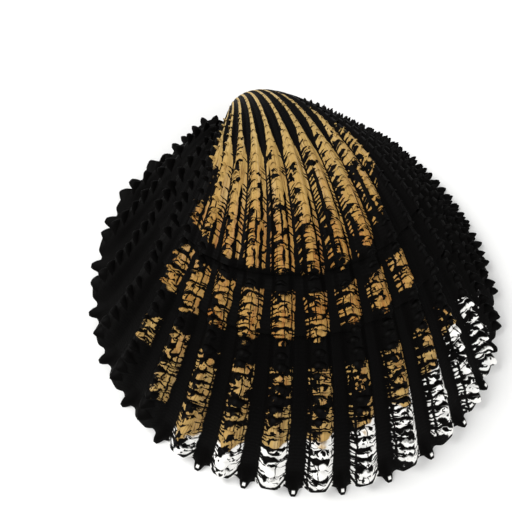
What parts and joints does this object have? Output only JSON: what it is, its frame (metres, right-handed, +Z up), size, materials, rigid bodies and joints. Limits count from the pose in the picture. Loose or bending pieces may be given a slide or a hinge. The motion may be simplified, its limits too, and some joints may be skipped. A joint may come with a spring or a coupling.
{
  "type": "cockle shell",
  "caption": "One domed valve of a prickly cockle with radial ribs, rows of scales, growth ledges and a hollow underside",
  "frame": {"origin": "middle of the bounding box, on the plane the margin rests on", "axes": "+Z up through the dome, +Y towards the beak, +X along the hinge"},
  "size_m": [0.0624, 0.0602, 0.0221],
  "materials": {
    "shell": "golden tan ribs with near-black grooves, bands and flanks, cream margin, dry satin surface"
  },
  "bodies": {
    "root": {"shell": "shell"}
  },
  "joints": []
}
